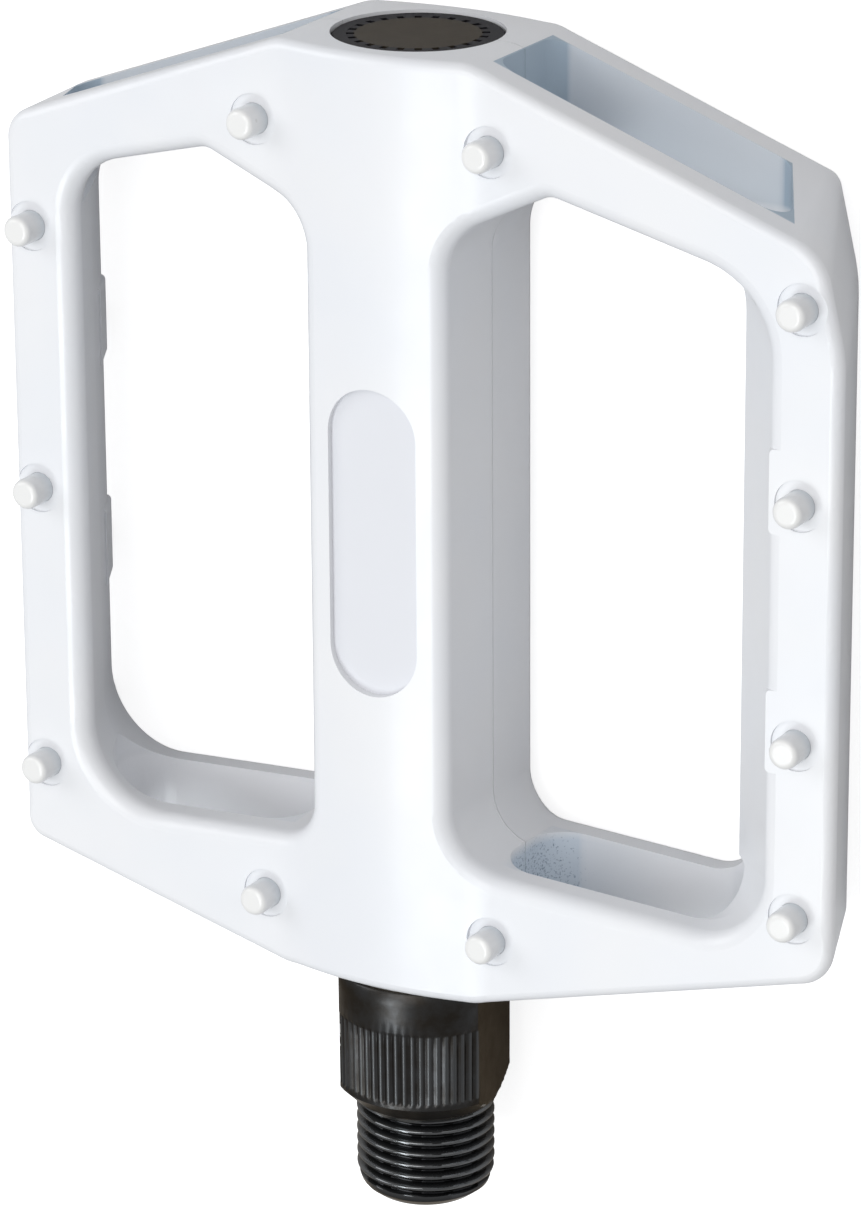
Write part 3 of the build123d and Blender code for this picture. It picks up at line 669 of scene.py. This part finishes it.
def blackenedSteel(s):
    material, tree, shader = newMaterial("blackenedSteel", s["collarRoughness"], s["metallic"])
    place = objectPlace(tree)
    x, y, z = split(tree, place)
    isThread = rampNode(tree, y, 0.4 * mm, 0.0)
    patch = rampNode(tree, noiseNode(tree, place, s["patchScale"], 4.0, 0.6), 0.35, 0.65)
    collar = mixColour(tree, patch, s["collar"], s["brown"])
    milled = addNode(tree, "ShaderNodeAttribute", attribute_name="milled").outputs["Fac"]
    crestHeight = addNode(tree, "ShaderNodeAttribute", attribute_name="ribCrest").outputs["Fac"]
    start, full, strength = s["crestHighlight"]
    # painted highlight: the rib crests are lighter and bluer
    collar = mixColour(tree, rampNode(tree, crestHeight, start, full, 0.0, strength), collar, s["crest"])
    collar = mixColour(tree, rampNode(tree, milled, 0.0, s["flatFade"] * mm), collar, s["flat"])
    begin, still, gone = s["chipBand"]
    nearEdge = product(tree, rampNode(tree, milled, 0.0, begin * mm),
                       rampNode(tree, milled, gone * mm, still * mm))
    chipped = mathNode(tree, "GREATER_THAN", noiseNode(tree, place, s["chipScale"], 3.0, 0.6), s["chipShare"])
    # painted shade: the thread is dark between its turns
    low, high = s["threadHeights"]
    onTurn = rampNode(tree, fromAxis(tree, x, z), low * mm, high * mm)
    thread = mixColour(tree, onTurn, s["valley"], s["thread"])
    colour = mixColour(tree, isThread, collar, thread)
    colour = mixColour(tree, product(tree, nearEdge, chipped), colour, s["chip"])
    plug(tree, colour, shader.inputs["Base Color"])
    lines = addNode(tree, "ShaderNodeMapping")
    setInputs(lines, Scale=(0.25, 1.0, 0.25))
    plug(tree, place, lines.inputs["Vector"])
    turned = noiseNode(tree, lines.outputs[0], s["lineScale"], 2.0, 0.6)
    pitted = noiseNode(tree, place, s["pitScale"], 3.0, 0.6)
    height = mathNode(tree, "ADD", product(tree, turned, s["lineHeight"]),
                      product(tree, pitted, s["pitHeight"]))
    quiet = rampNode(tree, isThread, 0.0, 1.0, 1.0, s["threadBump"])
    bumpFrom(tree, shader, product(tree, height, quiet))
    rough = rampNode(tree, isThread, 0.0, 1.0, s["collarRoughness"], s["threadRoughness"])
    rough = mathNode(tree, "ADD", rough, rampNode(tree, patch, 0.0, 1.0, *s["patchSpread"]))
    plug(tree, rough, shader.inputs["Roughness"])
    setInputs(shader, Specular_Tint=(*s["edge"], 1))
    return material


spindleFinish = blackenedSteel(blackSteelSet)


def makeSpindle(s):
    rows = spindleRows(s)
    end = -s["threadEnd"] + s["hexDepth"] + s["socketTip"]
    blank = latheObject("blackSpindle", rows, s["segments"], end, s["inner"][-1][1])
    normal, distance = findFlats(nodes["spindle"])
    start, stop = s["knurl"]
    spindle = runTree(blank, machiningTree(), {
        "Pitch": s["pitch"] * mm, "Major Radius": s["majorRadius"] * mm,
        "Thread Depth": s["threadDepth"] * mm, "Run Out": s["runOut"] * mm,
        "Rib Count": float(s["ribs"]), "Rib Height": s["ribHeight"] * mm,
        "Knurl Start": start * mm, "Knurl End": stop * mm, "Rib Fade": s["ribFade"] * mm,
        "Flat X": normal.x, "Flat Z": normal.z, "Flat Distance": distance,
        "Collar Top": s["collarTop"] * mm, "Finish": spindleFinish})
    spindle.data.set_sharp_from_angle(angle=math.radians(s["sharpAngle"]))
    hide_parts("spindle")
    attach(spindle, "spindle_assembly")
    return spindle


makeSpindle(spindleSet)
print("spindle turned, threaded, knurled and milled")

pinSet = {"rings": 16, "sides": 32, "height": 2.8, "tipRound": 0.62, "buried": 0.4}


# the pins' middles and radius, read from the CAD node's separate solids
def readPins(node):
    form = bmesh.new()
    form.from_mesh(node.data)
    bmesh.ops.remove_doubles(form, verts=form.verts, dist=1e-7)
    left = set(form.verts)
    spots = []
    radius = 0.0
    while left:
        group = {left.pop()}
        edge = list(group)
        while edge:
            vertex = edge.pop()
            for link in vertex.link_edges:
                other = link.other_vert(vertex)
                if other in left:
                    left.remove(other)
                    group.add(other)
                    edge.append(other)
        low = [min(v.co[i] for v in group) for i in range(3)]
        high = [max(v.co[i] for v in group) for i in range(3)]
        spots.append(((low[0] + high[0]) / 2, (low[1] + high[1]) / 2))
        # the widest, since a set is walked in no fixed order
        radius = max(radius, (high[0] - low[0]) / 2)
    form.free()
    return sorted(spots), radius


# Geometry Nodes sweep one rounded pin and stand a copy on each point
def pinTree():
    number = "NodeSocketFloat"
    group, inlet, outlet = newGroup(
        "tractionPinTree", "GeometryNodeTree",
        [("Geometry", "NodeSocketGeometry", None), ("Pin Length", number, 1.0), ("Pin Radius", number, 1.0),
         ("Tip Round", number, 1.0), ("Rings", "NodeSocketInt", 16), ("Sides", "NodeSocketInt", 32),
         ("Finish", "NodeSocketMaterial", None)],
        [("Geometry", "NodeSocketGeometry", None)])
    give = inlet.outputs

    def calc(operation, *values):
        return mathNode(group, operation, *values)

    line = addNode(group, "GeometryNodeCurvePrimitiveLine")
    setInputs(line, Start=(0, 0, 0), End=(0, 0, 1))
    rings = addNode(group, "GeometryNodeResampleCurve")
    plug(group, line.outputs[0], rings.inputs["Curve"])
    plug(group, give["Rings"], rings.inputs["Count"])
    share = addNode(group, "GeometryNodeSplineParameter").outputs["Factor"]
    left = calc("SUBTRACT", 1.0, share)
    height = calc("MULTIPLY", calc("SUBTRACT", 1.0, calc("MULTIPLY", left, left)), give["Pin Length"])
    lift = addNode(group, "ShaderNodeCombineXYZ")
    plug(group, height, lift.inputs[2])
    move = addNode(group, "GeometryNodeSetPosition")
    plug(group, rings.outputs[0], move.inputs["Geometry"])
    plug(group, lift.outputs[0], move.inputs["Position"])
    # the tip rounds in over its last stretch, as a quarter circle
    tip = give["Tip Round"]
    placed = split(group, addNode(group, "GeometryNodeInputPosition").outputs[0])[2]
    into = calc("MAXIMUM", calc("SUBTRACT", placed, calc("SUBTRACT", give["Pin Length"], tip)), 0.0)
    rest = calc("SUBTRACT", calc("MULTIPLY", tip, tip), calc("MULTIPLY", into, into))
    arc = calc("SQRT", calc("MAXIMUM", rest, 0.0))
    width = calc("ADD", calc("SUBTRACT", give["Pin Radius"], tip), arc)
    ring = addNode(group, "GeometryNodeCurvePrimitiveCircle")
    setInputs(ring, Radius=1.0)
    plug(group, give["Sides"], ring.inputs["Resolution"])
    sweep = addNode(group, "GeometryNodeCurveToMesh")
    setInputs(sweep, Fill_Caps=True)
    plug(group, move.outputs[0], sweep.inputs["Curve"])
    plug(group, width, sweep.inputs["Scale"])
    plug(group, ring.outputs[0], sweep.inputs["Profile Curve"])
    stand = addNode(group, "GeometryNodeInstanceOnPoints")
    plug(group, give["Geometry"], stand.inputs["Points"])
    plug(group, sweep.outputs[0], stand.inputs["Instance"])
    real = addNode(group, "GeometryNodeRealizeInstances")
    plug(group, stand.outputs[0], real.inputs[0])
    dress = addNode(group, "GeometryNodeSetMaterial")
    plug(group, real.outputs[0], dress.inputs["Geometry"])
    plug(group, give["Finish"], dress.inputs["Material"])
    plug(group, dress.outputs[0], outlet.inputs[0])
    return group


pinGrowth = pinTree()
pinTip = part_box("upper_pins")[1][2]
treadFace = pinTip - pinSet["height"] * mm
pinFinish = paintedPin(pinPaintSet, (treadFace, pinTip))


def makePins(s, pieceName, nodeName):
    spots, radius = readPins(nodes[nodeName])
    low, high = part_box(nodeName)
    top = max(abs(low[2]), abs(high[2]))
    foot = treadFace - s["buried"] * mm
    mesh = bpy.data.meshes.new(pieceName)
    mesh.from_pydata([(x, y, foot) for x, y in spots], [], [])
    pins = bpy.data.objects.new(pieceName, mesh)
    bpy.context.scene.collection.objects.link(pins)
    runTree(pins, pinGrowth, {"Pin Length": top - foot, "Pin Radius": radius, "Tip Round": s["tipRound"] * mm,
                              "Rings": s["rings"], "Sides": s["sides"], "Finish": pinFinish})
    if high[2] < 0:
        for vertex in pins.data.vertices:
            vertex.co.z = -vertex.co.z
    form = bmesh.new()
    form.from_mesh(pins.data)
    bmesh.ops.recalc_face_normals(form, faces=form.faces)
    form.to_mesh(pins.data)
    form.free()
    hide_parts(nodeName)
    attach(pins, "platform")


makePins(pinSet, "upperTractionPins", "upper_pins")
makePins(pinSet, "lowerTractionPins", "lower_pins")
print("pins stood on both treads")

capSet = {
    # rim is painted shade, a dark ring at the cap's edge where it meets the bore
    "colour": (0.046, 0.036, 0.023), "rim": (0.014, 0.013, 0.016), "rimStart": 6.1, "rimFade": 0.3,
    "roughness": 0.5, "specular": 0.1, "mottleScale": 500, "mottle": (0.9, 1.1),
}


def capPlastic(s):
    material, tree, shader = newMaterial("oliveCapPlastic", s["roughness"])
    place = objectPlace(tree)
    parts = split(tree, place)
    start = s["rimStart"]
    # painted shade: a dark ring at the cap's edge, by the bore
    rim = rampNode(tree, fromAxis(tree, parts[0], parts[2]), start * mm, (start + s["rimFade"]) * mm)
    mottled = rampNode(tree, noiseNode(tree, place, s["mottleScale"], 3.0), 0.3, 0.7, *s["mottle"])
    colour = mixColour(tree, rim, s["colour"], s["rim"])
    shade = addNode(tree, "ShaderNodeHueSaturation")
    plug(tree, mottled, shade.inputs["Value"])
    plug(tree, colour, shade.inputs["Color"])
    plug(tree, shade.outputs[0], shader.inputs["Base Color"])
    grain = useGroup(tree, castGrain, Grain_Scale=4200.0, Grain_Height=8e-6)
    bumpFrom(tree, shader, grain.outputs["Height"])
    setInputs(shader, Specular_IOR_Level=s["specular"])
    return material


turnedMetalSet = [
    {"name": "groundBearingSteel", "colour": (0.70, 0.70, 0.69), "dark": (0.60, 0.60, 0.60),
     "roughness": 0.2, "lineScale": 6000.0,
     "pieces": ("bearing_outer_ring", "bearing_inner_ring", "bearing_balls")},
    {"name": "zincPlate", "colour": (0.62, 0.62, 0.63), "dark": (0.50, 0.51, 0.52),
     "roughness": 0.34, "lineScale": 6000.0, "pieces": ("thrust_washer", "clamp_washer", "lock_nut")},
    {"name": "sinteredBronze", "colour": (0.50, 0.33, 0.17), "dark": (0.36, 0.24, 0.13),
     "roughness": 0.42, "lineScale": 2400.0, "pieces": ("inboard_bushing",)},
    {"name": "phosphatedSpring", "colour": (0.09, 0.085, 0.08), "dark": (0.06, 0.058, 0.055),
     "roughness": 0.45, "lineScale": 6000.0, "pieces": ("bearing_circlip",)},
]
lineHeight = 1.5e-6     # metres, the marks of turning


def turnedMetal(s):
    material, tree, shader = newMaterial(s["name"], s["roughness"], 1.0)
    place = objectPlace(tree)
    stretch = addNode(tree, "ShaderNodeMapping")
    setInputs(stretch, Scale=(1.0, 0.2, 1.0))
    plug(tree, place, stretch.inputs["Vector"])
    streak = noiseNode(tree, stretch.outputs[0], s["lineScale"], 2.0)
    colour = mixColour(tree, rampNode(tree, streak, 0.3, 0.7), s["colour"], s["dark"])
    plug(tree, colour, shader.inputs["Base Color"])
    rough = rampNode(tree, streak, 0.3, 0.7, s["roughness"] - 0.05, s["roughness"] + 0.08)
    plug(tree, rough, shader.inputs["Roughness"])
    bumpFrom(tree, shader, product(tree, streak, lineHeight))
    return material


softPlasticSet = [
    {"name": "blackSealRubber", "colour": (0.020, 0.020, 0.021), "light": (0.032, 0.031, 0.030),
     "roughness": 0.62, "grainHeight": 6e-6,
     "pieces": ("inboard_seal", "bearing_shield_inboard", "bearing_shield_outboard", "end_cap_oring")},
    {"name": "milkyNylon", "colour": (0.80, 0.79, 0.74), "light": (0.86, 0.85, 0.81),
     "roughness": 0.45, "grainHeight": 4e-6, "pieces": ("bearing_retainer", "lock_nut_insert")},
]


def softPlastic(s):
    material, tree, shader = newMaterial(s["name"], s["roughness"])
    grain = useGroup(tree, castGrain, Grain_Scale=3600.0, Grain_Height=s["grainHeight"])
    shade = rampNode(tree, grain.outputs["Blotch"], 0.35, 0.65)
    plug(tree, mixColour(tree, shade, s["colour"], s["light"]), shader.inputs["Base Color"])
    bumpFrom(tree, shader, grain.outputs["Height"])
    return material


def dress(finish, *names):
    for name in names:
        for slot in nodes[name].material_slots:
            slot.link = "OBJECT"
            slot.material = finish


dress(paintedCasting(paintSet), "cage_body")
dress(capPlastic(capSet), "end_cap")
for item in turnedMetalSet:
    dress(turnedMetal(item), *item["pieces"])
for item in softPlasticSet:
    dress(softPlastic(item), *item["pieces"])
print("finishes given to the frame's own pieces")
